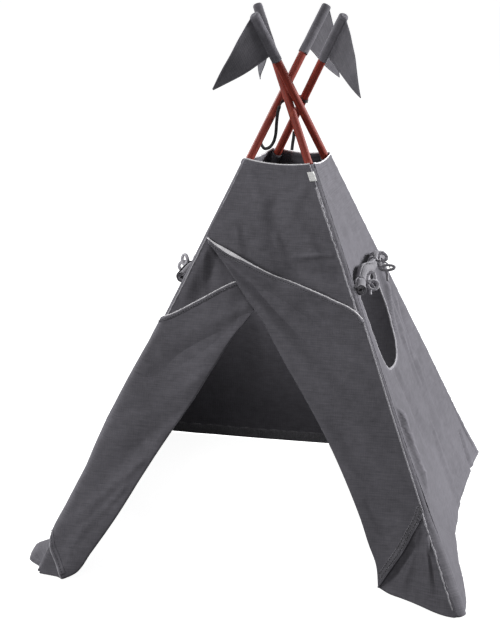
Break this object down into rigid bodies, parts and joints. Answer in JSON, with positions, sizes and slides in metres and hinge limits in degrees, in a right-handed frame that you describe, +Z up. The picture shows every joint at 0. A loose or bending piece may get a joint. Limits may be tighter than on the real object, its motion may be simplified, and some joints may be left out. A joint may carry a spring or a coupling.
{
  "type": "teepee tent",
  "caption": "Square children's play tent: canvas cover on crossing wooden poles, open door with turned-back flaps, side windows with rolled blinds, pennants on the pole tips.",
  "frame": {"origin": "middle of the base, on the floor", "axes": "+Z up, -Y towards the side with the door, +X to the right of somebody looking at the door"},
  "size_m": [1.29, 1.29, 1.6244],
  "materials": {
    "canvas": "matt woven cotton canvas",
    "pole_wood": "satin red stained wood",
    "ribbon": "woven cotton tape",
    "label": "woven satin label, blank"
  },
  "bodies": {
    "left_frame": {"pole_front_left": "pole_wood", "pole_back_left": "pole_wood", "pole_sleeve_front_left": "canvas", "pole_sleeve_back_left": "canvas", "foot_pocket_front_left": "canvas", "foot_pocket_back_left": "canvas", "side_wall_left": "canvas", "window_binding_left": "canvas", "window_blind_left": "canvas", "blind_tie_left_front": "ribbon", "blind_tie_left_back": "ribbon", "collar_side_left": "canvas", "lashing_ribbon": "ribbon", "ribbon_tail_long": "ribbon", "ribbon_tail_short": "ribbon"},
    "right_frame": {"pole_front_right": "pole_wood", "pole_back_right": "pole_wood", "pole_sleeve_front_right": "canvas", "pole_sleeve_back_right": "canvas", "foot_pocket_front_right": "canvas", "foot_pocket_back_right": "canvas", "side_wall_right": "canvas", "window_binding_right": "canvas", "window_blind_right": "canvas", "blind_tie_right_front": "ribbon", "blind_tie_right_back": "ribbon", "collar_side_right": "canvas", "side_label": "label"},
    "front_left": {"yoke_left": "canvas", "door_panel_left": "canvas", "collar_front_left": "canvas"},
    "front_right": {"door_panel_right": "canvas", "collar_front_right": "canvas"},
    "back_left": {"back_wall_left": "canvas", "collar_back_left": "canvas"},
    "back_right": {"back_wall_right": "canvas", "collar_back_right": "canvas"},
    "door_flap_left": {"door_flap_left": "canvas"},
    "door_flap_right": {"door_flap_right": "canvas"},
    "flag_front_left": {"flag_sleeve_front_left": "canvas", "flag_front_left": "canvas"},
    "flag_front_right": {"flag_sleeve_front_right": "canvas", "flag_front_right": "canvas"},
    "flag_back_left": {"flag_sleeve_back_left": "canvas", "flag_back_left": "canvas"},
    "flag_back_right": {"flag_sleeve_back_right": "canvas", "flag_back_right": "canvas"}
  },
  "joints": [
    {"name": "frame_fold", "type": "hinge", "parent": "left_frame", "child": "right_frame", "pos_m": [0.01, 0, 1.35], "axis": [0, 1, 0], "range_deg": [0, 40], "deforming": ["lashing_ribbon", "ribbon_tail_long", "ribbon_tail_short"]},
    {"name": "front_wall_left_turn", "type": "hinge", "parent": "left_frame", "child": "front_left", "pos_m": [-0.32135, -0.29075, 0.675], "axis": [0.3748, 0.3892, 0.8414], "range_deg": [0, 98], "deforming": ["yoke_left", "door_panel_left", "collar_front_left"]},
    {"name": "front_wall_middle_fold", "type": "hinge", "parent": "front_left", "child": "front_right", "pos_m": [-0.00942, -0.29738, 0.675], "axis": [0.0021, 0.4108, 0.9117], "range_deg": [-160.9, 0], "deforming": ["door_panel_right", "collar_front_right"]},
    {"name": "back_wall_left_turn", "type": "hinge", "parent": "left_frame", "child": "back_left", "pos_m": [-0.27835, 0.30735, 0.675], "axis": [0.4093, -0.3608, 0.838], "range_deg": [-79.8, 0], "deforming": ["back_wall_left", "collar_back_left"]},
    {"name": "back_wall_middle_fold", "type": "hinge", "parent": "back_left", "child": "back_right", "pos_m": [0.0187, 0.29942, 0.675], "axis": [0.0327, -0.4066, 0.913], "range_deg": [0, 158.8], "deforming": ["back_wall_right", "collar_back_right"]},
    {"name": "door_flap_right_turn", "type": "hinge", "parent": "front_right", "child": "door_flap_right", "pos_m": [-0.04432, -0.26733, 0.75284], "axis": [-0.4804, 0.3593, 0.8001], "range_deg": [-176, 0], "deforming": ["door_flap_right"]},
    {"name": "door_flap_left_turn", "type": "hinge", "parent": "front_left", "child": "door_flap_left", "pos_m": [-0.04433, -0.26459, 0.7516], "axis": [0.5138, 0.3535, 0.7817], "range_deg": [0, 176], "deforming": ["door_flap_left"]},
    {"name": "flag_front_left_swivel", "type": "hinge", "parent": "left_frame", "child": "flag_front_left", "pos_m": [0.09776, 0.14453, 1.61595], "axis": [0.3748, 0.3892, 0.8414], "range_deg": [-60, 60], "deforming": ["flag_front_left"]},
    {"name": "flag_front_right_swivel", "type": "hinge", "parent": "right_frame", "child": "flag_front_right", "pos_m": [-0.11221, 0.10862, 1.61595], "axis": [-0.3743, 0.3724, 0.8492], "range_deg": [-60, 60], "deforming": ["flag_front_right"]},
    {"name": "flag_back_left_swivel", "type": "hinge", "parent": "left_frame", "child": "flag_back_left", "pos_m": [0.18118, -0.09782, 1.61595], "axis": [0.4093, -0.3608, 0.838], "range_deg": [-60, 60], "deforming": ["flag_back_left"]},
    {"name": "flag_back_right_swivel", "type": "hinge", "parent": "right_frame", "child": "flag_back_right", "pos_m": [-0.07631, -0.14134, 1.61595], "axis": [-0.354, -0.3908, 0.8497], "range_deg": [-60, 60], "deforming": ["flag_back_right"]}
  ],
  "couplings": [
    {"joint": "front_wall_left_turn", "follows": "frame_fold", "ratio": 2.4413},
    {"joint": "front_wall_middle_fold", "follows": "frame_fold", "ratio": -4.0122},
    {"joint": "back_wall_left_turn", "follows": "frame_fold", "ratio": -1.9863},
    {"joint": "back_wall_middle_fold", "follows": "frame_fold", "ratio": 3.9592}
  ]
}
